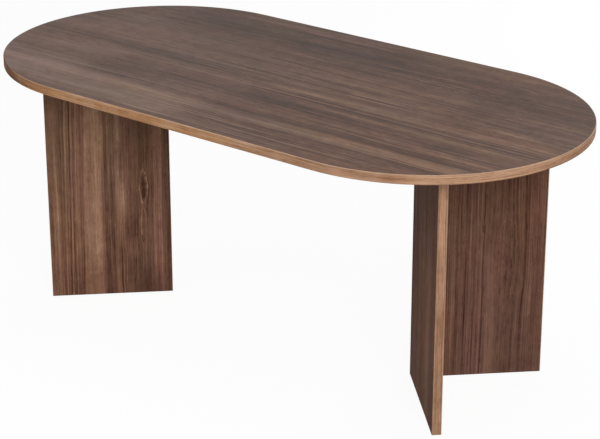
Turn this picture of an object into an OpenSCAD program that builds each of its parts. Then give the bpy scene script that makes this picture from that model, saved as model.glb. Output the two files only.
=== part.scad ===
// Oval dining table: a racetrack top on two vee-shaped bases, knocked down into laminated boards.
// Millimetres. X runs along the table, Y across it and Z up from the floor.
// The origin is on the floor, under the middle of the top.

/* [Top] */
// Length of the top, over its edge band
table_length = 1800; // [1600:10:2400]
// Width of the top, over its edge band
table_width = 900; // [800:10:1100]
// Thickness of the top
top_thickness = 25; // [22:1:38]

/* [Bases] */
// Height of a leg panel, from its foot edge to the underside of the top
panel_height = 725; // [640:5:800]
// Length of each outer face of a vee, from its corner to its tip
panel_width = 355; // [300:5:400]
// Thickness of a leg panel
panel_thickness = 25; // [22:1:30]
// Distance from each end of the top to the corner of the vee near it
corner_inset = 465; // [420:5:640]

/* [Edge bands] */
// Thickness of the band round the top and on the upright edges of the panels
band_thickness = 2; // [1:0.5:3]
// Rounding of the long arrises of that band
band_round = 1.5; // [0.4:0.1:2]
// Thickness of the band on the foot edges of the panels
foot_band_thickness = 1; // [0.4:0.2:2]
// Glue line between a band and its board
glue_line = 0.1; // [0.05:0.05:0.2]

/* [Cam fittings] */
// Diameter of a cam
cam_d = 15; // [14:0.5:18]
// Distance from the joint's face to the middle of the cam
cam_set_back = 34; // [24:1:40]
// How far a cam's face lies below the board's face
cam_sink = 0.4; // [0.2:0.1:1]
// How far the cam's hollow lies off its axis
cam_throw = 0.6; // [0.3:0.1:1]
// Diameter of the hollow that takes the head of the bolt
cam_hollow_d = 10.8; // [10:0.2:11.4]
// Metal below that hollow
cam_floor = 0.9; // [0.6:0.1:1.5]
// Diameter of the socket in a cam's face
cam_socket_d = 5; // [4:0.5:6]
// Length of a cam's crossed driver slots
cam_slot_length = 8; // [7:0.5:10]
// Width of a cam's crossed driver slots
cam_slot_width = 1.5; // [1:0.1:2]
// Depth of the socket and the slots
cam_slot_depth = 3; // [2:0.5:4]
// Diameter of a bolt's threaded end
thread_d = 6; // [5:0.5:7]
// Length of a bolt's threaded end
thread_length = 11; // [9:0.5:13]
// Diameter of the collar that stops a bolt on the board's face
bolt_collar_d = 7.6; // [7:0.1:7.8]
// Height of that collar
bolt_collar_height = 1.5; // [1:0.5:3]
// Diameter of a bolt's shank
bolt_shank_d = 5.6; // [5:0.1:6.4]
// Diameter of a bolt's neck, where the cam grips it
bolt_neck_d = 4.8; // [4:0.1:5]
// Diameter of a bolt's head
bolt_head_d = 7; // [6:0.1:7.4]
// Height of a bolt's head
bolt_head_height = 2.6; // [2:0.1:3]
// Diameter of the bore that a bolt runs through
bolt_bore_d = 8; // [8:0.1:9]
// Cover cap, across its rim
cap_d = 17; // [16:0.5:22]
// Cover cap, above the board's face
cap_height = 1.2; // [0.8:0.1:2]
// Length of a cap's peg in the socket of the cam
cap_peg_length = 2.2; // [1:0.1:2.3]
// Number of cams up each corner of a vee
corner_cam_count = 3; // [2:1:4]
// Distance of the lowest and the highest corner cam from the ends of the panel
corner_cam_inset = 110; // [70:5:140]
// Distance from a vee's corner to the nearest cam under the top
inner_cam_inset = 90; // [85:5:120]
// Distance from a vee's tip to the nearest cam under the top
outer_cam_inset = 65; // [30:5:90]

/* [Dowels] */
// Diameter of a dowel
dowel_d = 8; // [6:1:10]
// Length of a dowel
dowel_length = 35; // [30:1:40]
// Length of a dowel that lies in the board's face
dowel_in_face = 12; // [10:1:14]
// Number of flutes round a dowel
dowel_flutes = 12; // [8:2:16]
// Depth of a flute
flute_depth = 0.4; // [0.2:0.1:0.6]
// Bevel on the ends of a dowel
dowel_bevel = 1; // [0.5:0.5:2]
// Distance from a cam under the top to the dowel beside it
dowel_from_cam = 32; // [24:1:40]

/* [Floor glides] */
// Diameter of a glide
glide_d = 18; // [14:1:20]
// Height of a glide, which is the gap under the panels
glide_height = 2; // [2:0.5:5]
// Rounding of a glide's lower rim
glide_round = 0.8; // [0.4:0.1:1.5]
// Distance from the end of a panel to the nearest glide
glide_inset = 40; // [25:5:80]
// Diameter of a glide's nail
nail_d = 1.8; // [1.4:0.1:2.4]
// Length of the nail above the glide
nail_length = 16; // [12:1:20]
// Diameter of the nail's head
nail_head_d = 6; // [4:0.5:7]
// Height of the nail's head
nail_head_height = 0.7; // [0.5:0.1:1]
// How far the nail's head lies above the floor
nail_head_sink = 0.5; // [0.3:0.1:0.6]
// Length of the nail's point
nail_point = 3; // [2:0.5:4]

/* [Hidden] */
// Radial gap of a turned piece in its hole
fit_play = 0.1;
// Depth that a blind hole has beyond the piece in it
end_play = 1;
// Overrun of a cut past the face that it opens
cut_over = 1;
// Facets of the small turned pieces
$fn = 48;
// Facets of the round ends of the top
rim_facets = 180;
// Each panel stands at half of the right angle between them
panel_turn = 45;
// Largest share of a band's thickness that its rounding takes
round_share = 0.8;
// Part of a cap's height that its bevel takes
cap_bevel_share = 0.6;
// Slimness of a cap's peg against the socket
peg_play = 0.15;
// Angle that the cam's side slot sweeps, from the bolt round to the entry
cam_slot_sweep = 180;

RIGHT = 1;
LEFT = -1;

board_brown = [0.36, 0.27, 0.22];
leg_brown = [0.30, 0.22, 0.18];
band_tan = [0.64, 0.50, 0.40];
foot_band_brown = [0.32, 0.24, 0.19];
zinc_grey = [0.70, 0.71, 0.72];
steel_grey = [0.78, 0.78, 0.76];
beech = [0.82, 0.68, 0.48];
cap_brown = [0.27, 0.19, 0.15];
glide_black = [0.12, 0.11, 0.11];

// Heights above the floor
foot_z = glide_height;
underside_z = foot_z + panel_height;
board_foot_z = foot_z + foot_band_thickness + glue_line;

// The band covers the board's edge all round, so the board is this much smaller
banded = band_thickness + glue_line;
straight = table_length - table_width;
rounding = min(band_round, round_share * band_thickness);

// Corner of each vee, measured from the middle of the table
corner_distance = table_length / 2 - corner_inset;

// Middle of a panel's thickness, where every bolt, dowel and nail stands
mid = panel_thickness / 2;

// Room in a cam for the bolt's head, and where that head bears on it
cam_room = bolt_head_d + 4 * fit_play;
cam_height = mid - cam_sink + cam_room / 2 + cam_floor;
head_back = sqrt(pow(cam_hollow_d / 2, 2) - pow(bolt_head_d / 2, 2)) - cam_throw - fit_play;

// Places up the corner and along the tops of the panels, measured from the vee's corner
corner_step = (panel_height - 2 * corner_cam_inset) / (corner_cam_count - 1);
corner_cam_z = [for (i = [0 : corner_cam_count - 1]) foot_z + corner_cam_inset + i * corner_step];
corner_dowel_z = [for (i = [0 : corner_cam_count - 2]) corner_cam_z[i] + corner_step / 2];
top_cam_at = [inner_cam_inset, panel_width - outer_cam_inset];
top_dowel_at = [inner_cam_inset + dowel_from_cam, panel_width - outer_cam_inset - dowel_from_cam];

// Places the children of a base. There X runs along the front panel from the vee's outer corner,
// Y along the rear panel, and the inside of the vee has both positive. The left base mirrors the right.
module on_base(side) {
    if (side == LEFT)
        mirror([1, 0, 0]) at_vee() children();
    else
        at_vee() children();
}

module at_vee() {
    translate([corner_distance, 0, 0]) rotate([0, 0, -panel_turn]) children();
}

// Every fitting has its own frame. Its origin is where the bolt's or dowel's axis crosses the joint,
// Z runs into the edge of the board that holds the cam, and X points out of the cam's face.
module at_corner(heights) {
    for (z = heights)
        translate([mid, panel_thickness, z]) rotate([-90, 0, 0]) children();
}

module at_front_top(places) {
    for (x = places)
        translate([x, mid, underside_z]) rotate([180, 0, 90]) children();
}

module at_rear_top(places) {
    for (y = places)
        translate([mid, y, underside_z]) rotate([180, 0, 0]) children();
}

module at_tops(places) {
    at_front_top(places) children();
    at_rear_top(places) children();
}

// Under the foot edge of a panel: near the corner and near the tip
module at_front_glides() {
    for (x = [glide_inset, panel_width - glide_inset])
        translate([x, mid, 0]) children();
}

module at_rear_glides() {
    for (y = [panel_thickness + glide_inset, panel_width - glide_inset])
        translate([mid, y, 0]) children();
}

module at_glides() {
    at_front_glides() children();
    at_rear_glides() children();
}

// Holes of the fittings

module cam_holes() {
    cylinder(d = bolt_bore_d, h = cam_set_back);
    translate([0, 0, -cut_over]) cylinder(d = bolt_bore_d, h = 2 * cut_over);
    pocket = cam_sink + cam_height + fit_play;
    translate([mid - pocket, 0, cam_set_back]) rotate([0, 90, 0])
        cylinder(d = cam_d + 2 * fit_play, h = pocket + cut_over);
}

module thread_hole() {
    translate([0, 0, -thread_length - end_play])
        cylinder(d = thread_d + 2 * fit_play, h = thread_length + end_play + cut_over);
}

module dowel_hole_in_face() {
    translate([0, 0, -dowel_in_face - end_play])
        cylinder(d = dowel_d + 2 * fit_play, h = dowel_in_face + end_play + cut_over);
}

module dowel_hole_in_edge() {
    translate([0, 0, -cut_over])
        cylinder(d = dowel_d + 2 * fit_play, h = dowel_length - dowel_in_face + end_play + cut_over);
}

module nail_hole() {
    translate([0, 0, glide_height - cut_over])
        cylinder(d = nail_d + 2 * fit_play, h = nail_length + end_play + cut_over);
}

// Fittings

// Turned bolt: threaded end, stop collar, shank, neck and head
module cam_bolt() {
    head_z = cam_set_back - head_back;
    neck_length = cam_d / 2 - head_back + cut_over;
    head_bevel = bolt_head_height / 3;
    rotate_extrude()
        polygon([
            [0, -thread_length],
            [thread_d / 4, -thread_length],
            [thread_d / 2, -thread_length + thread_d / 4],
            [thread_d / 2, 0],
            [bolt_collar_d / 2, 0],
            [bolt_collar_d / 2, bolt_collar_height],
            [bolt_shank_d / 2, bolt_collar_height],
            [bolt_shank_d / 2, head_z - neck_length],
            [bolt_neck_d / 2, head_z - neck_length],
            [bolt_neck_d / 2, head_z],
            [bolt_head_d / 2, head_z],
            [bolt_head_d / 2, head_z + bolt_head_height - head_bevel],
            [bolt_head_d / 2 - head_bevel, head_z + bolt_head_height],
            [0, head_z + bolt_head_height]
        ]);
}

// Die-cast cam, locked: its hollow lies off the axis, and a side slot leads the neck in from the entry
module cam() {
    slot_height = bolt_neck_d + 4 * fit_play;
    hollow_r = cam_hollow_d / 2;
    translate([mid - cam_sink, 0, cam_set_back]) rotate([0, 90, 0])
        difference() {
            translate([0, 0, -cam_height]) cylinder(d = cam_d, h = cam_height);
            translate([0, 0, cam_sink - mid]) {
                translate([-cam_throw, 0, -cam_room / 2]) cylinder(r = hollow_r, h = cam_room);
                rotate([0, 0, -cam_slot_sweep])
                    rotate_extrude(angle = cam_slot_sweep)
                        translate([hollow_r / 2, -slot_height / 2]) square([cam_d, slot_height]);
                translate([-cam_d, 0, 0]) rotate([0, 90, 0]) cylinder(d = cam_room, h = cam_d);
                rotate([0, 90, 0]) cylinder(d = slot_height, h = cam_d);
            }
            driver_socket();
        }
}

// Round socket with two crossed slots, sunk in the face of a cam
module driver_socket() {
    translate([0, 0, -cam_slot_depth]) {
        cylinder(d = cam_socket_d, h = cam_slot_depth + cut_over);
        for (turn = [0, 90])
            rotate([0, 0, turn])
                translate([-cam_slot_length / 2, -cam_slot_width / 2, 0])
                    cube([cam_slot_length, cam_slot_width, cam_slot_depth + cut_over]);
    }
}

// Push-in cap: a bevelled disc on the board's face, with a peg in the cam's socket
module cam_cap() {
    bevel = cap_bevel_share * cap_height;
    translate([mid, 0, cam_set_back]) rotate([0, 90, 0]) {
        cylinder(d = cap_d, h = cap_height - bevel);
        translate([0, 0, cap_height - bevel])
            cylinder(d1 = cap_d, d2 = cap_d - 2 * bevel, h = bevel);
        translate([0, 0, -cam_sink - cap_peg_length])
            cylinder(d = cam_socket_d - 2 * peg_play, h = cam_sink + cap_peg_length);
    }
}

// Fluted beech dowel with bevelled ends
module dowel() {
    translate([0, 0, -dowel_in_face])
        difference() {
            rotate_extrude()
                polygon([
                    [0, 0],
                    [dowel_d / 2 - dowel_bevel, 0],
                    [dowel_d / 2, dowel_bevel],
                    [dowel_d / 2, dowel_length - dowel_bevel],
                    [dowel_d / 2 - dowel_bevel, dowel_length],
                    [0, dowel_length]
                ]);
            for (i = [1 : dowel_flutes])
                rotate([0, 0, i * 360 / dowel_flutes])
                    translate([dowel_d / 2, 0, -cut_over])
                        cylinder(r = flute_depth, h = dowel_length + 2 * cut_over, $fn = 4);
        }
}

// Disc with a rounded lower rim and a recess for the nail's head
module glide() {
    r = min(glide_round, glide_height / 2);
    difference() {
        rotate_extrude() {
            square([glide_d / 2 - r, glide_height]);
            translate([0, r]) square([glide_d / 2, glide_height - r]);
            translate([glide_d / 2 - r, r]) circle(r = r);
        }
        translate([0, 0, -cut_over]) {
            cylinder(d = nail_d + 2 * fit_play, h = glide_height + 2 * cut_over);
            cylinder(d = nail_head_d + 2 * fit_play, h = nail_head_sink + nail_head_height + cut_over);
        }
    }
}

module glide_nail() {
    head_top = nail_head_sink + nail_head_height;
    tip = glide_height + nail_length;
    rotate_extrude()
        polygon([
            [0, nail_head_sink],
            [nail_head_d / 2, nail_head_sink],
            [nail_head_d / 2, head_top],
            [nail_d / 2, head_top],
            [nail_d / 2, tip - nail_point],
            [0, tip]
        ]);
}

// Top

module racetrack(length, width) {
    square([length - width, width], center = true);
    for (end = [-1, 1])
        translate([end * (length - width) / 2, 0]) circle(d = width, $fn = rim_facets);
}

module top_board() {
    color(board_brown)
        difference() {
            translate([0, 0, underside_z])
                linear_extrude(top_thickness)
                    racetrack(table_length - 2 * banded, table_width - 2 * banded);
            for (side = [LEFT, RIGHT])
                on_base(side) {
                    at_tops(top_cam_at) thread_hole();
                    at_tops(top_dowel_at) dowel_hole_in_face();
                }
        }
}

// Cross-section of a thick band, with its outer arrises rounded: X points out of the board
module band_section(width) {
    intersection() {
        square([band_thickness, width]);
        union() {
            square([band_thickness - rounding, width]);
            translate([0, rounding]) square([band_thickness, width - 2 * rounding]);
            for (y = [rounding, width - rounding])
                translate([band_thickness - rounding, y]) circle(r = rounding);
        }
    }
}

module top_edge_band() {
    inner_r = table_width / 2 - band_thickness;
    color(band_tan)
        translate([0, 0, underside_z])
            for (turn = [0, 180])
                rotate([0, 0, turn]) {
                    translate([straight / 2, 0, 0]) rotate([0, 0, -90])
                        rotate_extrude(angle = 180, $fn = rim_facets)
                            translate([inner_r, 0]) band_section(top_thickness);
                    translate([-straight / 2, inner_r, 0]) rotate([90, 0, 90])
                        linear_extrude(straight) band_section(top_thickness);
                }
}

// Bases

// The front panel runs past the corner, so both of its upright edges are banded
module front_panel(side) {
    color(leg_brown)
        on_base(side)
            difference() {
                translate([banded, 0, board_foot_z])
                    cube([panel_width - 2 * banded, panel_thickness, underside_z - board_foot_z]);
                at_front_top(top_cam_at) cam_holes();
                at_front_top(top_dowel_at) dowel_hole_in_edge();
                at_corner(corner_cam_z) thread_hole();
                at_corner(corner_dowel_z) dowel_hole_in_face();
                at_front_glides() nail_hole();
            }
}

// The rear panel butts against the inner face of the front panel
module rear_panel(side) {
    color(leg_brown)
        on_base(side)
            difference() {
                translate([0, panel_thickness, board_foot_z])
                    cube([
                        panel_thickness,
                        panel_width - panel_thickness - banded,
                        underside_z - board_foot_z
                    ]);
                at_rear_top(top_cam_at) cam_holes();
                at_rear_top(top_dowel_at) dowel_hole_in_edge();
                at_corner(corner_cam_z) cam_holes();
                at_corner(corner_dowel_z) dowel_hole_in_edge();
                at_rear_glides() nail_hole();
            }
}

// Thick band up an edge of a panel, with X out of the edge and Y through the panel's thickness
module upright_band() {
    translate([0, 0, foot_z])
        linear_extrude(panel_height) band_section(panel_thickness);
}

module front_tip_band(side) {
    color(band_tan)
        on_base(side)
            translate([panel_width - band_thickness, 0, 0]) upright_band();
}

module rear_tip_band(side) {
    color(band_tan)
        on_base(side)
            translate([panel_thickness, panel_width - band_thickness, 0]) rotate([0, 0, 90]) upright_band();
}

module corner_band(side) {
    color(band_tan)
        on_base(side)
            translate([band_thickness, panel_thickness, 0]) rotate([0, 0, 180]) upright_band();
}

module front_foot_band(side) {
    color(foot_band_brown)
        on_base(side)
            difference() {
                translate([banded, 0, foot_z])
                    cube([panel_width - 2 * banded, panel_thickness, foot_band_thickness]);
                at_front_glides() nail_hole();
            }
}

module rear_foot_band(side) {
    color(foot_band_brown)
        on_base(side)
            difference() {
                translate([0, panel_thickness, foot_z])
                    cube([panel_thickness, panel_width - panel_thickness - banded, foot_band_thickness]);
                at_rear_glides() nail_hole();
            }
}

module corner_bolts(side) {
    color(steel_grey) on_base(side) at_corner(corner_cam_z) cam_bolt();
}

module corner_cams(side) {
    color(zinc_grey) on_base(side) at_corner(corner_cam_z) cam();
}

module corner_dowels(side) {
    color(beech) on_base(side) at_corner(corner_dowel_z) dowel();
}

module top_bolts(side) {
    color(steel_grey) on_base(side) at_tops(top_cam_at) cam_bolt();
}

module top_cams(side) {
    color(zinc_grey) on_base(side) at_tops(top_cam_at) cam();
}

module top_dowels(side) {
    color(beech) on_base(side) at_tops(top_dowel_at) dowel();
}

module cam_caps(side) {
    color(cap_brown)
        on_base(side) {
            at_corner(corner_cam_z) cam_cap();
            at_tops(top_cam_at) cam_cap();
        }
}

module floor_glides(side) {
    color(glide_black) on_base(side) at_glides() glide();
}

module glide_nails(side) {
    color(steel_grey) on_base(side) at_glides() glide_nail();
}

top_board();
top_edge_band();
front_panel(LEFT);  // left_front_panel
rear_panel(LEFT);  // left_rear_panel
front_panel(RIGHT);  // right_front_panel
rear_panel(RIGHT);  // right_rear_panel
front_tip_band(LEFT);  // left_front_tip_band
rear_tip_band(LEFT);  // left_rear_tip_band
front_tip_band(RIGHT);  // right_front_tip_band
rear_tip_band(RIGHT);  // right_rear_tip_band
corner_band(LEFT);  // left_corner_band
corner_band(RIGHT);  // right_corner_band
front_foot_band(LEFT);  // left_front_foot_band
rear_foot_band(LEFT);  // left_rear_foot_band
front_foot_band(RIGHT);  // right_front_foot_band
rear_foot_band(RIGHT);  // right_rear_foot_band
corner_bolts(LEFT);  // left_corner_bolts
corner_bolts(RIGHT);  // right_corner_bolts
corner_cams(LEFT);  // left_corner_cams
corner_cams(RIGHT);  // right_corner_cams
corner_dowels(LEFT);  // left_corner_dowels
corner_dowels(RIGHT);  // right_corner_dowels
top_bolts(LEFT);  // left_top_bolts
top_bolts(RIGHT);  // right_top_bolts
top_cams(LEFT);  // left_top_cams
top_cams(RIGHT);  // right_top_cams
top_dowels(LEFT);  // left_top_dowels
top_dowels(RIGHT);  // right_top_dowels
cam_caps(LEFT);  // left_cam_caps
cam_caps(RIGHT);  // right_cam_caps
floor_glides(LEFT);  // left_floor_glides
floor_glides(RIGHT);  // right_floor_glides
glide_nails(LEFT);  // left_glide_nails
glide_nails(RIGHT);  // right_glide_nails
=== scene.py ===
from math import radians

import bpy
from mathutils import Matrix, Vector


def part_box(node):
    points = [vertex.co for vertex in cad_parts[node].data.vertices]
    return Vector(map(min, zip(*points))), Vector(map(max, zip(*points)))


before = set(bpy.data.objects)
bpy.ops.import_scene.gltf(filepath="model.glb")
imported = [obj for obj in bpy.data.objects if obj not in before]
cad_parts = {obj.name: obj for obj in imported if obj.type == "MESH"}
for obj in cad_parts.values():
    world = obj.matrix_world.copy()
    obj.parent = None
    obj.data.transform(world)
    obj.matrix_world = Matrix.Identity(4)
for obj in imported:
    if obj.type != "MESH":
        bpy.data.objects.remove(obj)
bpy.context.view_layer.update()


# Top board
# A 25 mm particle board, pressed on both faces with paper printed as walnut. The grain runs along the table.
# It is cut to a racetrack, banded, and drilled from below for the bolts and dowels of the two bases.

MM = 0.001
WHITE = (1.0, 1.0, 1.0, 1.0)


def node(tree, kind, inputs=None, **settings):
    """Adds a shader node. inputs gives a socket, by name or number, its value or the output that feeds it."""
    made = tree.nodes.new("ShaderNode" + kind)
    for name, value in settings.items():
        setattr(made, name, value)
    for socket, value in (inputs or {}).items():
        if isinstance(value, bpy.types.NodeSocket):
            tree.links.new(value, made.inputs[socket])
        else:
            made.inputs[socket].default_value = value
    return made


def placed(tree, group, **inputs):
    """Puts a node group into a tree and returns its outputs."""
    return node(tree, "Group", inputs, node_tree=group).outputs


def maths(tree, operation, *values):
    return node(tree, "Math", dict(enumerate(values)), operation=operation).outputs[0]


def times(tree, first, *others):
    for factor in others:
        first = maths(tree, "MULTIPLY", first, factor)
    return first


def total(tree, first, *others):
    """Adds outputs up, each given as (output, weight). The first may also come without a weight."""
    if isinstance(first, tuple):
        first = times(tree, *first)
    for output, weight in others:
        first = maths(tree, "MULTIPLY_ADD", output, weight, first)
    return first


def between(tree, share, first, second):
    """first where share is 0, second where it is 1."""
    return maths(tree, "MULTIPLY_ADD", maths(tree, "SUBTRACT", second, first), share, first)


def vectors(tree, operation, first, second):
    return node(tree, "VectorMath", {0: first, 1: second}, operation=operation).outputs[0]


def axes_of(tree, vector):
    return node(tree, "SeparateXYZ", {0: vector}).outputs


def vector_of(tree, **axes):
    return node(tree, "CombineXYZ", axes).outputs[0]


def fade(tree, value, start, end, low=0.0, high=1.0):
    """Runs smoothly from low to high while value goes from start to end."""
    ends = {"Value": value, "From Min": start, "From Max": end, "To Min": low, "To Max": high}
    return node(tree, "MapRange", ends, interpolation_type="SMOOTHSTEP").outputs[0]


def speckle(tree, place, scale, detail=2.0, roughness=0.5):
    """Noise about 0, with its own scale along each axis: the larger the scale, the finer the marks."""
    spread = vectors(tree, "MULTIPLY", place, scale)
    noise = node(tree, "TexNoise", {"Vector": spread, "Scale": 1.0, "Detail": detail, "Roughness": roughness})
    return maths(tree, "SUBTRACT", noise.outputs["Fac"], 0.5)


def srgb(red, green, blue):
    """A colour read off a paint chart, 0 to 255, as Blender's own linear one."""
    shares = (channel / 255 for channel in (red, green, blue))
    return (*(s / 12.92 if s <= 0.04045 else ((s + 0.055) / 1.055) ** 2.4 for s in shares), 1.0)


def shades(tree, value, stops):
    """Turns a value into a colour that runs through stops, each a place and a colour."""
    ramp = node(tree, "ValToRGB", {"Fac": value})
    elements = ramp.color_ramp.elements
    while len(elements) < len(stops):
        elements.new(1.0)
    for element, (place, colour) in zip(elements, stops):
        element.position = place
        element.color = colour
    return ramp.outputs["Color"]


def mix(tree, share, first, second, how="MIX"):
    """Mixes two colours. Their sockets go by number, because the node's other kinds share the names."""
    made = node(tree, "Mix", {0: share, 6: first, 7: second}, data_type="RGBA", blend_type=how)
    return made.outputs[2]


def effect(name, inputs, outputs):
    """Starts a node group and returns its tree, its inputs and its output node."""
    tree = bpy.data.node_groups.new(name, "ShaderNodeTree")
    for label, kind in inputs:
        tree.interface.new_socket(label, in_out="INPUT", socket_type="NodeSocket" + kind)
    for label, kind in outputs:
        tree.interface.new_socket(label, in_out="OUTPUT", socket_type="NodeSocket" + kind)
    return tree, tree.nodes.new("NodeGroupInput").outputs, tree.nodes.new("NodeGroupOutput")


def give(tree, result, **outputs):
    for label, output in outputs.items():
        tree.links.new(output, result.inputs[label])


def grain_flow():
    """Bends the straight grain a little, as wood grows. Grain is a place on the print: X along, Y across."""
    tree, given, result = effect("grain_flow", [("Grain", "Vector")], [("Grain", "Vector")])
    slow = speckle(tree, given["Grain"], (1.2, 3.0, 1.0), 1.0)
    quick = speckle(tree, given["Grain"], (7.0, 22.0, 1.0), 1.0)
    bend = total(tree, (slow, 0.022), (quick, 0.0035))
    give(tree, result, Grain=vectors(tree, "ADD", given["Grain"], vector_of(tree, Y=bend)))
    return tree


def walnut_decor():
    """The printed walnut.

    Z of Grain goes from sheet to sheet. Figure is how light the print is there, Vigour how strongly its grain
    shows, Cast a slight tint of the whole sheet, on the top board painted light, and Dust how grey its light
    parts are painted, as a painted sheen."""
    tree, given, result = effect(
        "walnut_decor",
        [("Grain", "Vector"), ("Figure", "Float"), ("Vigour", "Float"), ("Cast", "Color"), ("Dust", "Float")],
        [("Color", "Color"), ("Roughness", "Float"), ("Height", "Float")],
    )
    grain = given["Grain"]

    # Marks along the grain, long ones first. The third scale only sets each kind apart from the others.
    broad = speckle(tree, grain, (0.6, 4.0, 1.0), 1.0)
    bands = speckle(tree, grain, (0.7, 14.0, 1.0), 2.0)
    streaks = speckle(tree, grain, (2.0, 60.0, 1.0), 3.0, 0.6)
    lines = speckle(tree, grain, (3.2, 260.0, 1.0), 2.0, 0.6)
    hairs = fade(tree, speckle(tree, grain, (3.6, 190.0, 7.0), 2.0, 0.55), 0.06, 0.20)
    pale_hairs = fade(tree, speckle(tree, grain, (4.2, 220.0, 13.0), 2.0, 0.55), 0.10, 0.24)
    dashes = fade(tree, speckle(tree, grain, (34.0, 230.0, 3.0), 2.0, 0.6), 0.05, 0.20)
    flecks = fade(tree, speckle(tree, grain, (48.0, 210.0, 17.0), 2.0, 0.6), 0.06, 0.22)
    mottle = speckle(tree, grain, (22.0, 30.0, 1.0), 4.0, 0.6)
    pores = fade(tree, speckle(tree, grain, (55.0, 1900.0, 1.0), 1.0), 0.08, 0.22)

    # Yearly rings, which show only in places. Each darkens slowly and ends sharply.
    rings_a_metre = 46.0
    wander = speckle(tree, grain, (0.5, 4.0, 1.0), 2.0)
    year = maths(tree, "FRACT", total(tree, (axes_of(tree, grain)["Y"], rings_a_metre), (wander, 5.0)))
    late_wood = times(tree, fade(tree, year, 0.1, 0.86), fade(tree, year, 1.0, 0.90))
    shown = fade(tree, speckle(tree, grain, (0.7, 7.0, 9.0), 1.0), -0.12, 0.16)
    rings = times(tree, maths(tree, "SUBTRACT", late_wood, 0.4), shown)

    # The fine lines are fainter where the wood is plain and where the print is light.
    lined = total(tree, (streaks, 0.22), (lines, 0.76), (rings, -0.08), (hairs, -0.20), (pale_hairs, 0.17))
    plainer = fade(tree, speckle(tree, grain, (1.4, 11.0, 33.0), 2.0), -0.14, 0.14, 0.50, 1.25)
    calm = times(tree, plainer, fade(tree, given["Figure"], 0.66, 0.86, 1.0, 0.5))
    grown = total(
        tree,
        (broad, 0.30), (bands, 0.40), (dashes, -0.15), (flecks, 0.12), (mottle, 0.34), (pores, -0.10),
        (lined, calm),
    )
    tone = total(tree, given["Figure"], (grown, given["Vigour"]))
    wood = shades(tree, tone, [
        (0.00, srgb(44, 28, 22)),
        (0.25, srgb(73, 49, 38)),
        (0.50, srgb(104, 75, 60)),
        (0.72, srgb(127, 94, 75)),
        (0.88, srgb(148, 113, 90)),
        (1.00, srgb(168, 134, 108)),
    ])

    # Slight tints that wander: green to red, and blue to gold.
    reddish = fade(tree, speckle(tree, grain, (2.5, 14.0, 5.0), 3.0, 0.6), -0.18, 0.18)
    golden = fade(tree, speckle(tree, grain, (2.0, 9.0, 21.0), 3.0, 0.6), -0.18, 0.18)
    green_red = mix(tree, reddish, (0.972, 1.013, 1.0, 1.0), (1.034, 0.972, 1.0, 1.0))
    blue_gold = mix(tree, golden, (0.991, 1.0, 1.066, 1.0), (1.009, 1.0, 0.928, 1.0))
    tint = mix(tree, 1.0, green_red, blue_gold, "MULTIPLY")
    tint = mix(tree, 1.0, tint, given["Cast"], "MULTIPLY")
    # Painted sheen: the light parts of the print are greyed, as a reflection of the white surroundings would
    # grey them.
    sheen_share = times(tree, fade(tree, tone, 0.40, 0.85), given["Dust"])
    wood = mix(tree, sheen_share, wood, srgb(136, 116, 103))

    smears = speckle(tree, grain, (5.0, 5.0, 1.0), 4.0)
    give(
        tree, result,
        Color=mix(tree, 1.0, wood, tint, "MULTIPLY"),
        Roughness=total(tree, 0.58, (pores, 0.12), (smears, 0.10)),
        Height=total(tree, (pores, -1.0), (lines, 0.6)),
    )
    return tree


def particle_core():
    """Pressed wood chips, as a drill or saw leaves them: pale and dark flakes, wider than they are thick."""
    tree, given, result = effect(
        "particle_core",
        [("Place", "Vector")],
        [("Color", "Color"), ("Height", "Float")],
    )
    crumbs = speckle(tree, given["Place"], (260.0, 260.0, 700.0), 3.0, 0.65)
    flakes = node(tree, "TexVoronoi", {"Vector": given["Place"], "Scale": 420.0})
    chips = shades(tree, maths(tree, "ADD", crumbs, 0.5), [
        (0.30, srgb(112, 84, 54)),
        (0.50, srgb(176, 144, 104)),
        (0.70, srgb(208, 180, 140)),
    ])
    patchy = mix(tree, 0.22, chips, flakes.outputs["Color"], "OVERLAY")
    give(tree, result, Color=patchy, Height=maths(tree, "ADD", crumbs, flakes.outputs["Distance"]))
    return tree


def eye():
    """A knot or a curl in the print, pointed along the grain, which runs round it.

    Pull is how much it bends the grain, and Heart, Rim and Rings how strongly its dark heart, its pale rim
    and the rings round it show. Before is the print's tone without it."""
    tree, given, result = effect(
        "eye",
        [("Grain", "Vector"), ("Before", "Float"), ("Middle", "Vector"), ("Reach", "Vector"),
         ("Pull", "Float"), ("Heart", "Float"), ("Rim", "Float"), ("Rings", "Float")],
        [("Grain", "Vector"), ("Tone", "Float")],
    )
    offset = vectors(tree, "SUBTRACT", given["Grain"], given["Middle"])
    share = axes_of(tree, vectors(tree, "DIVIDE", offset, given["Reach"]))
    along = times(tree, share["X"], share["X"])
    across = maths(tree, "SQRT", maths(tree, "MULTIPLY_ADD", share["Y"], share["Y"], 0.04))
    wobble = speckle(tree, given["Grain"], (40.0, 110.0, 1.0), 3.0, 0.6)
    away = total(tree, maths(tree, "ADD", along, across), (wobble, 1.2))

    near = maths(tree, "EXPONENT", times(tree, away, away, -0.55))
    pull = times(tree, given["Pull"], near, times(tree, axes_of(tree, offset)["Y"], -1.0))
    drawn = vectors(tree, "ADD", given["Grain"], vector_of(tree, Y=pull))

    heart = fade(tree, away, 0.78, 0.40)
    off_rim = maths(tree, "ABSOLUTE", maths(tree, "SUBTRACT", away, 1.0))
    broken = fade(tree, speckle(tree, given["Grain"], (60.0, 60.0, 5.0), 2.0), -0.12, 0.14, 0.25, 1.0)
    rim = times(tree, fade(tree, off_rim, 0.24, 0.0), broken)
    rings = times(tree, maths(tree, "SINE", times(tree, away, 14.0)), near)
    tone = total(tree, given["Before"], (rim, given["Rim"]), (rings, given["Rings"]))
    tone = maths(tree, "SUBTRACT", tone, times(tree, heart, given["Heart"]))
    give(tree, result, Grain=drawn, Tone=tone)
    return tree


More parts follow.
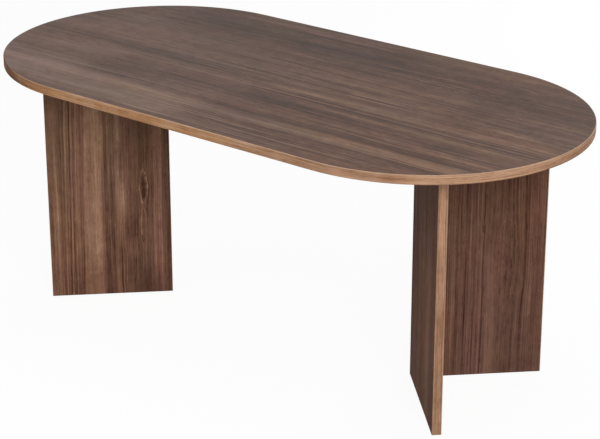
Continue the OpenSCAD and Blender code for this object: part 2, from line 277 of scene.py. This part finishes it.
def streak():
    """A light or dark streak of the print, with ragged sides and faded ends.

    Middle and Half width lie across the grain, Start and End along it, and Slope is how far it drifts
    sideways for each metre along. Before is the print's tone without it."""
    tree, given, result = effect(
        "streak",
        [("Grain", "Vector"), ("Before", "Float"), ("Middle", "Float"), ("Half", "Float"), ("Start", "Float"),
         ("End", "Float"), ("Tone", "Float"), ("Slope", "Float")],
        [("Tone", "Float")],
    )
    faded_end = 0.12
    grain = axes_of(tree, given["Grain"])
    centre = times(tree, maths(tree, "ADD", given["Start"], given["End"]), 0.5)
    drift = times(tree, maths(tree, "SUBTRACT", grain["X"], centre), given["Slope"])
    off = maths(tree, "SUBTRACT", maths(tree, "SUBTRACT", grain["Y"], given["Middle"]), drift)
    ragged = speckle(tree, given["Grain"], (5.0, 130.0, 1.0), 2.0)
    share = total(tree, maths(tree, "DIVIDE", maths(tree, "ABSOLUTE", off), given["Half"]), (ragged, 0.5))
    body = fade(tree, share, 1.0, 0.3)
    begun = fade(tree, maths(tree, "SUBTRACT", grain["X"], given["Start"]), 0.0, faded_end)
    unended = fade(tree, maths(tree, "SUBTRACT", given["End"], grain["X"]), 0.0, faded_end)
    shown = times(tree, body, times(tree, begun, unended))
    give(tree, result, Tone=total(tree, given["Before"], (shown, given["Tone"])))
    return tree


FLOW, DECOR, CORE, EYE, STREAK = grain_flow(), walnut_decor(), particle_core(), eye(), streak()
BOARD = 25 * MM
PAPER = 0.3 * MM
SAWN_ROUGHNESS = 0.85
# How fast the print's noise changes through a board, so that its two faces differ.
FACES_APART = 120.0


def own_frame(corner, turn, mirror):
    """A board's own frame, as a Mapping node takes it: X of its corner, its turn, and -1 if mirrored."""
    return {"Location": (corner, 0, 0), "Rotation": (0, 0, radians(turn)), "Scale": (mirror, 1, 1)}


def new_material(name, stand=None):
    """Returns a material, its tree and the place on the piece, in the board's own frame if one is given."""
    material = bpy.data.materials.new(name)
    material.use_nodes = True
    tree = material.node_tree
    place = node(tree, "TexCoord").outputs["Object"]
    if stand:
        place = node(tree, "Mapping", {"Vector": place, **stand}, vector_type="TEXTURE").outputs[0]
    return material, tree, place


def skin(tree, colour, roughness, height, bump, depth, gloss, metallic=0.0):
    """Feeds the material's shader. bump is how strongly the height shows, and depth how deep it is."""
    relief = node(tree, "Bump", {"Strength": bump, "Distance": depth, "Height": height})
    shader = tree.nodes["Principled BSDF"]
    tree.links.new(colour, shader.inputs["Base Color"])
    tree.links.new(roughness, shader.inputs["Roughness"])
    tree.links.new(relief.outputs["Normal"], shader.inputs["Normal"])
    shader.inputs["Specular IOR Level"].default_value = gloss
    shader.inputs["Metallic"].default_value = metallic


def board_finish(name, stand, axes, sheet, tone, low_face=0.0, eyes=(), streaks=(),
                 vigour=(1.0, 1.0), cast=(WHITE, WHITE), painted_sheen=0.0, gloss=0.02):
    """Walnut print on a board's two faces and particle core everywhere between them, also in its holes.

    stand is the board's own frame, and axes names its axes that follow the grain, cross it and go through the
    board from low_face. sheet says which part of the print the board was cut from, tone how light it is, and
    eyes and streaks what stands out in it. vigour and cast are given for both ends of the board."""
    along, across, through = axes
    material, tree, local = new_material(name, stand)
    at = axes_of(tree, local)
    depth = total(tree, sheet, (at[through], FACES_APART))
    grain = placed(tree, FLOW, Grain=vector_of(tree, X=at[along], Y=at[across], Z=depth))["Grain"]
    figure = tone
    for (x, y), (length, width), pull, heart, rim, rings in eyes:
        curl = placed(
            tree, EYE, Grain=grain, Before=figure, Middle=(x * MM, y * MM, 0.0),
            Reach=(length * MM, width * MM, 1.0), Pull=pull, Heart=heart, Rim=rim, Rings=rings,
        )
        grain, figure = curl["Grain"], curl["Tone"]
    for middle, half, start, end, change, *slope in streaks:
        figure = placed(
            tree, STREAK, Grain=grain, Before=figure, Middle=middle * MM, Half=half * MM,
            Start=start * MM, End=end * MM, Tone=change, Slope=slope[0] if slope else 0.0,
        )["Tone"]

    onward = fade(tree, at[along], -0.5, 0.7)
    strength = total(tree, vigour[0], (onward, vigour[1] - vigour[0]))
    shift = mix(tree, onward, *cast)
    decor = placed(tree, DECOR, Grain=grain, Figure=figure, Vigour=strength, Cast=shift, Dust=painted_sheen)
    core = placed(tree, CORE, Place=local)
    from_middle = maths(tree, "ABSOLUTE", maths(tree, "SUBTRACT", at[through], low_face + BOARD / 2))
    printed = maths(tree, "GREATER_THAN", from_middle, BOARD / 2 - PAPER)
    skin(
        tree,
        mix(tree, printed, core["Color"], decor["Color"]),
        between(tree, printed, SAWN_ROUGHNESS, decor["Roughness"]),
        between(tree, printed, core["Height"], decor["Height"]),
        bump=0.12, depth=0.1 * MM, gloss=gloss,
    )
    return material


def dress(material, *names):
    """Gives a CAD node's object this material in every slot."""
    for name in names:
        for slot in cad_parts[name].material_slots:
            slot.material = material


# Eyes and streaks are given in millimetres in the board's own frame, along the grain and across it.
top_eyes = [
    # middle along and across, reach along and across, pull, heart, rim, rings
    ((-250, 33), (26, 9), 0.5, 0.10, 0.10, 0.04),
    ((-185, 31), (22, 8), 0.5, 0.12, 0.10, 0.04),
    ((-135, 22), (24, 8), 0.5, 0.08, 0.10, 0.04),
    ((430, 245), (170, 50), 0.5, -0.02, 0.03, 0.06),
    ((604, 262), (34, 15), 0.6, 0.12, 0.14, 0.05),
    ((505, -170), (34, 10), 0.6, 0.10, 0.16, 0.05),
]
top_streaks = [
    # middle and half width across, from and to along, change of tone, slope
    (290, 150, -700, 260, -0.10),
    (240, 170, 470, 1300, -0.09),
    (60, 250, 450, 1300, -0.09),
    (-345, 120, -1200, 0, 0.20),
    (-190, 180, -1300, -450, 0.14),
    (60, 140, -1300, -400, 0.04),
    (170, 170, -1300, -700, -0.07),
    (-100, 70, -850, 0, 0.07),
    (0, 50, 40, 520, -0.06),
    (100, 90, 560, 1300, 0.06),
    (-250, 200, -60, 760, -0.05),
    (-300, 40, 420, 860, 0.05),
    (-20, 90, 560, 1300, 0.05),
    (400, 26, -560, 640, 0.10),
    (305, 34, -640, 620, -0.08),
    (262, 40, -820, -250, -0.07),
    (205, 5, -230, 60, 0.14, -0.08),
    (122, 5, -190, 660, -0.20, -0.03),
    (88, 20, -80, 460, 0.12),
    (60, 5, -60, 620, -0.14),
    (19, 5, -330, 300, -0.18),
    (20, 3, 150, 440, 0.46),
    (9, 4, 130, 450, -0.26),
    (-1, 3, 150, 440, 0.42),
    (12, 9, 600, 900, 0.24),
    (-50, 26, -60, 960, 0.14),
    (-82, 5, 60, 900, -0.20),
    (-92, 5, -620, 900, 0.13),
    (-101, 6, -60, 900, -0.24),
    (-127, 12, 180, 900, 0.15),
    (-168, 34, -90, 820, -0.10),
    (-165, 4, -320, 0, -0.20),
    (-190, 22, 540, 740, -0.14),
    (-230, 10, 500, 900, 0.12),
    (-246, 5, -820, -120, 0.14),
    (-266, 17, -900, 900, -0.06),
    (-264, 12, -120, 900, -0.10),
    (-308, 28, -100, 860, 0.16),
    (-308, 28, -860, 0, 0.08),
    (-335, 5, 100, 800, -0.10),
    (-353, 3, -190, 160, 0.32),
    (-364, 4, -170, 260, 0.26),
    (-374, 4, -40, 640, -0.22),
    (-384, 4, 60, 600, -0.16),
    (-391, 4, 60, 600, 0.16),
    (-402, 4, 40, 600, -0.18),
    (-420, 9, -300, 400, 0.12),
]
TOP = own_frame(0, 0, 1)
under_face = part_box("top_board")[0][2]
# The top board's print is greyed by a painted sheen.
top_walnut = board_finish(
    "top_board_walnut", TOP, "XYZ", sheet=3.0, tone=0.44, low_face=under_face, eyes=top_eyes,
    # The cast is painted light: cool at the left end, warm at the right.
    streaks=top_streaks, vigour=(0.80, 1.04), cast=((0.91, 1.03, 1.14, 1.0), (0.99, 1.0, 0.96, 1.0)),
    painted_sheen=0.30, gloss=0.20,
)
dress(top_walnut, "top_board")


# Edge band round the top
# A 2 mm plastic band in a lighter walnut, glued round the whole racetrack and trimmed flush. Both arrises are
# rounded. The upper one is pale where the band is light, partly scraped and partly a painted highlight, and
# darkened with painted shade where the band is dark; the lower one is darkened with painted shade.

def band_print():
    """The print of the bands: fine streaks along them. X of Place lies across the band, from its middle.

    Rosy is how far the print has turned from ginger to rosy, and Tone how light it is."""
    tree, given, result = effect(
        "band_print",
        [("Place", "Vector"), ("Rosy", "Float"), ("Tone", "Float")],
        [("Color", "Color"), ("Roughness", "Float"), ("Height", "Float")],
    )
    place = given["Place"]
    broad = speckle(tree, place, (160.0, 2.5, 2.5), 2.0)
    fine = speckle(tree, place, (700.0, 6.0, 6.0), 2.0, 0.6)
    ticks = fade(tree, speckle(tree, place, (1100.0, 45.0, 45.0), 1.0), 0.06, 0.22)
    patches = speckle(tree, place, (40.0, 16.0, 16.0), 3.0, 0.6)

    across = axes_of(tree, place)["X"]
    edge = BOARD / 2
    arris = fade(tree, across, edge - 2.4 * MM, edge - 0.8 * MM)
    # Pale upper arris where the band is light: partly scraped plastic, partly a painted highlight.
    scraped_and_highlit = times(tree, arris, fade(tree, given["Tone"], 0.10, 0.45, 0.0, 0.36))
    # Painted shade on the upper arris where the band is dark, against the light it catches from above.
    painted_arris_shade = times(tree, arris, fade(tree, given["Tone"], 0.40, 0.10, 0.0, 0.75))
    # Painted shade along the lower arris, which faces the floor.
    painted_lower_shade = fade(tree, across, 1.0 * MM - edge, 0.2 * MM - edge, 0.0, 0.35)

    tone = total(tree, given["Tone"], (broad, 0.55), (fine, 1.2), (ticks, -0.24), (patches, 0.5))
    ginger = shades(tree, tone, [
        (0.00, srgb(97, 62, 40)),
        (0.15, srgb(116, 76, 49)),
        (0.50, srgb(160, 116, 81)),
        (0.90, srgb(190, 149, 111)),
    ])
    rosy = shades(tree, tone, [
        (0.00, srgb(104, 74, 56)),
        (0.15, srgb(122, 89, 68)),
        (0.50, srgb(165, 128, 102)),
        (0.90, srgb(196, 160, 131)),
    ])
    turn = total(tree, given["Rosy"], (speckle(tree, place, (20.0, 8.0, 8.0), 3.0, 0.6), 2.0))
    printed = mix(tree, fade(tree, turn, 0.0, 1.0), ginger, rosy)
    printed = mix(tree, painted_lower_shade, printed, srgb(98, 70, 52))
    printed = mix(tree, painted_arris_shade, printed, srgb(104, 66, 42))
    give(
        tree, result,
        Color=mix(tree, scraped_and_highlit, printed, srgb(206, 182, 160)),
        Roughness=total(tree, 0.50, (fine, 0.2)),
        Height=total(tree, (ticks, -1.0), (fine, 0.8)),
    )
    return tree


BAND = band_print()


def band_finish(name, stand, axes, tone, rosy, low_face=0.0, turns=()):
    """Edge band in a board's own frame. axes names the axes across the band, along it and through it.

    The print turns from ginger to rosy between the two places given along the band, and turns lists where
    its tone changes, each with a start, an end and the change."""
    across, along, through = axes
    material, tree, local = new_material(name, stand)
    at = axes_of(tree, local)
    from_middle = maths(tree, "SUBTRACT", at[across], low_face + BOARD / 2)
    turned = vector_of(tree, X=from_middle, Y=at[along], Z=at[through])
    light = tone
    for start, end, change in turns:
        light = maths(tree, "ADD", fade(tree, at[along], start, end, 0.0, change), light)
    band = placed(tree, BAND, Place=turned, Rosy=fade(tree, at[along], *rosy), Tone=light)
    skin(tree, band["Color"], band["Roughness"], band["Height"], bump=0.15, depth=0.1 * MM, gloss=0.02)
    return material


top_band_turns = [
    # from, to, change of tone
    # Painted shade: the band keeps its dark base tone only at its left end, which faces away from the key
    # box.
    (-0.74, -0.42, 0.61),
    (-0.05, 0.45, -0.20),
    (0.68, 0.78, 0.03),
    # Painted shade at the right tip.
    (0.86, 0.90, -0.04),
]
top_band = band_finish(
    "top_band_print", TOP, "ZXY", tone=0.07, rosy=(-0.7, 1.0), low_face=under_face, turns=top_band_turns,
)
dress(top_band, "top_edge_band")


# Leg panels
# Four 25 mm boards of the same make. The front panel of each vee runs past the corner and the rear one butts
# against it. The grain stands upright, and each board is cut from another part of the sheet.

left_front_eyes = [
    # middle along and across, reach along and across, pull, heart, rim, rings
    ((336, 81), (62, 12), 0.9, 0.28, 0.48, 0.04),
    ((224, 82), (56, 9), 0.6, 0.05, 0.26, 0.0),
    ((176, 84), (18, 7), 0.6, 0.24, 0.0, 0.0),
]
left_front_streaks = [
    # middle and half width across, from and to along, change of tone, slope
    (270, 150, -400, 1200, 0.06),
    (330, 7, -200, 900, 0.06),
    (312, 4, -200, 900, -0.10, -0.02),
    (303, 3, -200, 900, 0.12, -0.02),
    (290, 3, -200, 900, -0.14, -0.02),
    (285, 2, -200, 900, 0.14, -0.02),
    (280, 3, -200, 900, -0.14, -0.02),
    (273, 2, -200, 900, 0.12, -0.02),
    (266, 2, -200, 900, -0.08, -0.02),
    (260, 3, -200, 900, -0.10, -0.02),
    (296, 3, 330, 900, 0.16, -0.02),
    (285, 3, 330, 900, -0.18, -0.02),
    (267, 2, 330, 900, 0.08, -0.02),
    (317, 3, -200, 900, -0.11, -0.02),
    (312, 2, -200, 900, 0.12, -0.02),
    (307, 3, -200, 900, -0.12, -0.02),
    (298, 3, -200, 260, -0.14, -0.02),
    (293, 2, -200, 260, 0.18, -0.02),
    (266, 2, -200, 900, 0.10, -0.02),
    (261, 3, -200, 200, -0.12, -0.02),
    (253, 3, -200, 900, -0.11, -0.02),
    (247, 2, -200, 900, 0.08, -0.02),
    (226, 38, -200, 900, 0.22),
    (210, 18, -200, 900, 0.12),
    (228, 26, 400, 900, 0.07),
    (178, 18, 60, 900, -0.05),
    (174, 34, 330, 900, 0.11),
    (160, 50, 260, 900, 0.09),
    (189, 5, 100, 900, -0.12),
    (152, 9, 380, 900, 0.14),
    (166, 6, 60, 900, -0.10),
    (186, 20, -200, 240, -0.12),
    (159, 5, -200, 230, 0.14),
    (149, 4, -200, 230, -0.16),
    (150, 22, 120, 450, 0.18),
    (143, 17, 190, 400, 0.18),
    (84, 36, 370, 900, -0.07),
    (78, 40, 190, 420, -0.09),
    (88, 10, 320, 900, -0.08),
    (116, 32, 120, 290, -0.28),
    (81, 3, 360, 420, 0.30),
    (84, 4, 160, 300, 0.16),
    (75, 4, 150, 290, -0.12),
    (40, 20, -20, 600, 0.18),
    (6, 14, -200, 900, -0.17),
    (50, 46, -200, 150, -0.14),
    (240, 80, -300, 170, -0.17),
    (98, 50, -300, 170, -0.17),
]
right_front_streaks = [
    (20, 16, -200, 900, -0.10),
    (70, 14, 300, 900, -0.08),
    (120, 22, -200, 500, 0.06),
    (150, 6, -200, 900, -0.08),
    (205, 12, 60, 900, -0.07),
    (255, 40, -200, 560, 0.08),
    (300, 8, -200, 420, -0.08),
    (335, 16, 100, 900, 0.08),
    (230, 120, 30, 520, 0.09),
]
right_rear_eyes = [
    ((427, 182), (20, 5), 0.7, 0.14, 0.14, 0.0),
    ((330, 245), (150, 28), 0.5, 0.0, 0.03, 0.04),
]
right_rear_streaks = [
    (90, 60, -400, 1200, 0.03),
    (100, 22, 20, 330, 0.10),
    (330, 60, -400, 1200, -0.02),
    (140, 60, -400, 1200, -0.05),
    (94, 5, -200, 900, -0.05),
    (105, 3, -200, 900, 0.06),
    (116, 3, -200, 900, -0.08),
    (129, 3, -200, 900, 0.08),
    (139, 3, -200, 900, -0.13),
    (150, 3, -200, 900, 0.06),
    (157, 2, -200, 350, 0.12),
    (163, 3, -200, 900, -0.09),
    (173, 3, -200, 900, -0.09),
    (181, 3, -200, 460, 0.12),
    (203, 4, -200, 900, 0.06),
    (167, 2, 400, 640, 0.26),
    (178, 3, 420, 620, 0.22),
    (186, 3, -200, 900, -0.18),
    (210, 22, -200, 420, 0.09),
    (260, 24, -200, 900, -0.06),
    (270, 5, -200, 900, -0.08),
    (294, 5, -200, 900, -0.19),
    (310, 10, 100, 540, 0.10),
]
# The frame of a vee starts at its corner, with the front panel along X and the rear panel along Y.
VEE_CORNER = 435 * MM
LEFT, RIGHT = own_frame(-VEE_CORNER, 45, -1), own_frame(VEE_CORNER, -45, 1)
TAN = ((1.04, 0.975, 0.97, 1.0), (0.99, 1.012, 1.02, 1.0))
WARM = ((1.03, 0.99, 0.98, 1.0),) * 2
ROSY = ((0.98, 0.99, 1.13, 1.0), (1.012, 0.985, 1.0, 1.0))
panels = {
    "left_front_panel": board_finish(
        "left_front_panel_walnut", LEFT, "ZXY", sheet=11.0, tone=0.57, eyes=left_front_eyes,
        streaks=left_front_streaks, cast=TAN,
    ),
    "left_rear_panel": board_finish("left_rear_panel_walnut", LEFT, "ZYX", sheet=23.0, tone=0.50),
    "right_front_panel": board_finish(
        "right_front_panel_walnut", RIGHT, "ZXY", sheet=37.0, tone=0.49, streaks=right_front_streaks,
        cast=WARM, gloss=0.01,
    ),
    "right_rear_panel": board_finish(
        "right_rear_panel_walnut", RIGHT, "ZYX", sheet=53.0, tone=0.50, eyes=right_rear_eyes,
        streaks=right_rear_streaks, vigour=(0.80, 0.80), cast=ROSY,
    ),
}
for panel, walnut in panels.items():
    dress(walnut, panel)


# Upright edge bands
# The same 2 mm band, glued up the tip of every panel and up the corner end of each front panel. That end lies
# flush with the outer face of the rear panel.

upright_print = {"tone": 0.38, "rosy": (-1.2, 0.2)}
for side, vee in (("left", LEFT), ("right", RIGHT)):
    front_band = band_finish(side + "_front_band_print", vee, "YZX", **upright_print)
    rear_band = band_finish(side + "_rear_band_print", vee, "XZY", **upright_print)
    dress(front_band, side + "_front_tip_band", side + "_corner_band")
    dress(rear_band, side + "_rear_tip_band")


# Foot bands
# A 1 mm band of dark brown plastic, glued on the edges that stand towards the floor to keep damp out of the
# particle board.

def moulded(name, colour, darker, roughness, grit, gloss=0.35, metallic=0.0):
    """Coloured plastic or bare metal with a slightly uneven skin. The larger grit is, the finer its grain."""
    material, tree, place = new_material(name)
    cloud = speckle(tree, place, (60.0, 60.0, 60.0), 3.0)
    grain = speckle(tree, place, (grit, grit, grit), 2.0)
    skin(
        tree,
        mix(tree, fade(tree, cloud, -0.2, 0.2), colour, darker),
        total(tree, roughness, (grain, 0.2)),
        grain,
        bump=0.2, depth=0.05 * MM, gloss=gloss, metallic=metallic,
    )
    return material


def on_both_bases(*pieces):
    return [f"{side}_{piece}" for side in ("left", "right") for piece in pieces]


foot_brown = moulded(
    "foot_band_brown", srgb(92, 66, 50), srgb(76, 54, 41), roughness=0.65, grit=900.0, gloss=0.08,
)
dress(foot_brown, *on_both_bases("front_foot_band", "rear_foot_band"))


# Cam bolts and nails
# Bolts turned from steel rod and zinc plated, screwed into the boards' faces. The nails that hold the glides
# are of the same steel.

plated = moulded(
    "zinc_plated_steel", srgb(204, 205, 202), srgb(186, 188, 190), roughness=0.32, grit=700.0, metallic=1.0,
)
dress(plated, *on_both_bases("corner_bolts", "top_bolts", "glide_nails"))


# Cams
# Die-cast zinc drums that grip the bolts' heads. Their skin is duller than the bolts' and slightly grainy.

cast = moulded(
    "die_cast_zinc", srgb(178, 180, 183), srgb(156, 159, 164), roughness=0.42, grit=1400.0, metallic=1.0,
)
dress(cast, *on_both_bases("corner_cams", "top_cams"))


# Dowels
# Fluted beech, 8 by 35 mm, with bevelled ends. They sit in blind holes across each joint and keep its boards
# in line while the cams draw it tight.

beech = moulded("beech", srgb(214, 180, 132), srgb(196, 158, 112), roughness=0.7, grit=500.0)
dress(beech, *on_both_bases("corner_dowels", "top_dowels"))


# Cover caps
# Moulded brown plastic discs that hide the cams, each with a peg that is pushed into the cam's socket.

cap_brown = moulded("cap_brown", srgb(94, 67, 52), srgb(84, 59, 46), roughness=0.45, grit=1200.0)
dress(cap_brown, *on_both_bases("cam_caps"))


# Floor glides
# Moulded black plastic discs under the panels, each fixed by a nail through its middle.

glide_black = moulded("glide_black", srgb(34, 32, 32), srgb(26, 25, 25), roughness=0.5, grit=1000.0)
dress(glide_black, *on_both_bases("floor_glides"))


# Floor and background
# A plain pale floor that runs out of view, and white all round. Both look white to the camera, but throw less
# light onto the table.

FLOOR_SIZE = 40.0
FLOOR_GREY = 0.55
FLOOR_GLOW = 0.94
WORLD_LIGHT = 0.34


def seen_directly(tree):
    """1 for camera, glossy and transmission rays, so that reflections show the same background."""
    ray = node(tree, "LightPath").outputs
    either = maths(tree, "MAXIMUM", ray["Is Camera Ray"], ray["Is Glossy Ray"])
    return maths(tree, "MAXIMUM", either, ray["Is Transmission Ray"])


bpy.ops.mesh.primitive_plane_add(size=FLOOR_SIZE)
plane = bpy.context.active_object
plane.name = "studio_floor"
material = bpy.data.materials.new("studio_floor")
material.use_nodes = True
tree = material.node_tree
tree.nodes.remove(tree.nodes["Principled BSDF"])
dull = node(tree, "BsdfDiffuse", {"Color": (FLOOR_GREY, FLOOR_GREY, FLOOR_GREY, 1.0)}).outputs[0]
pale = node(tree, "BsdfDiffuse", {"Color": WHITE}).outputs[0]
glow = node(tree, "Emission", {"Color": WHITE, "Strength": 1.0}).outputs[0]
shown = node(tree, "MixShader", {0: FLOOR_GLOW, 1: pale, 2: glow}).outputs[0]
lit = node(tree, "MixShader", {0: seen_directly(tree), 1: dull, 2: shown}).outputs[0]
below = node(tree, "NewGeometry").outputs["Backfacing"]
clear = node(tree, "BsdfTransparent").outputs[0]
both = node(tree, "MixShader", {0: below, 1: lit, 2: clear}).outputs[0]
tree.links.new(both, tree.nodes["Material Output"].inputs["Surface"])
plane.data.materials.append(material)

world = bpy.data.worlds.new("studio")
bpy.context.scene.world = world
world.use_nodes = True
tree = world.node_tree
backdrop = tree.nodes["Background"].inputs
backdrop["Color"].default_value = WHITE
tree.links.new(fade(tree, seen_directly(tree), 0.0, 1.0, WORLD_LIGHT, 1.0), backdrop["Strength"])


# Lamps
# A large soft box at the front right, farther off than the camera, and weaker ones overhead, at the front
# left and behind the table.

def soft_box(name, place, aim, size, power):
    lamp = bpy.data.lights.new(name, "AREA")
    lamp.shape = "SQUARE"
    lamp.size = size
    lamp.energy = power
    stand = bpy.data.objects.new(name, lamp)
    stand.location = place
    stand.rotation_mode = "QUATERNION"
    stand.rotation_quaternion = (Vector(aim) - Vector(place)).to_track_quat("-Z", "Y")
    bpy.context.scene.collection.objects.link(stand)


soft_box("key_box", place=(4.77, -3.46, 3.15), aim=(0.0, 0.0, 0.4), size=2.8, power=300.0)
soft_box("over_box", place=(-0.4, 0.2, 3.6), aim=(0.0, 0.0, 0.75), size=2.6, power=15.0)
soft_box("left_box", place=(-2.6, -3.2, 2.0), aim=(-0.3, 0.0, 0.5), size=2.0, power=24.0)
soft_box("rear_box", place=(0.2, 4.4, 1.2), aim=(0.0, 0.0, 0.4), size=2.0, power=70.0)


# Camera
# Placed where the photograph was taken from, in the photograph's frame of 600 by 439 pixels. The focal length
# and the optical axis, which passes above the middle of the frame, are in those pixels too.

FRAME_WIDTH, FRAME_HEIGHT = 600, 439
FOCAL_LENGTH = 1952.3
AXIS_BELOW_TOP = 190.0
VIEWPOINT = (3.198, -3.901, 2.391)
TURN, TILT_DOWN = 38.889, 21.240
camera = bpy.data.cameras.new("photo_view")
camera.sensor_width = 36.0
camera.lens = FOCAL_LENGTH / FRAME_WIDTH * camera.sensor_width
camera.shift_y = (AXIS_BELOW_TOP - FRAME_HEIGHT / 2) / FRAME_WIDTH
viewer = bpy.data.objects.new("photo_view", camera)
viewer.location = VIEWPOINT
viewer.rotation_euler = (radians(90 - TILT_DOWN), 0.0, radians(TURN))
bpy.context.scene.collection.objects.link(viewer)
bpy.context.scene.camera = viewer
bpy.context.scene.view_settings.view_transform = "Standard"
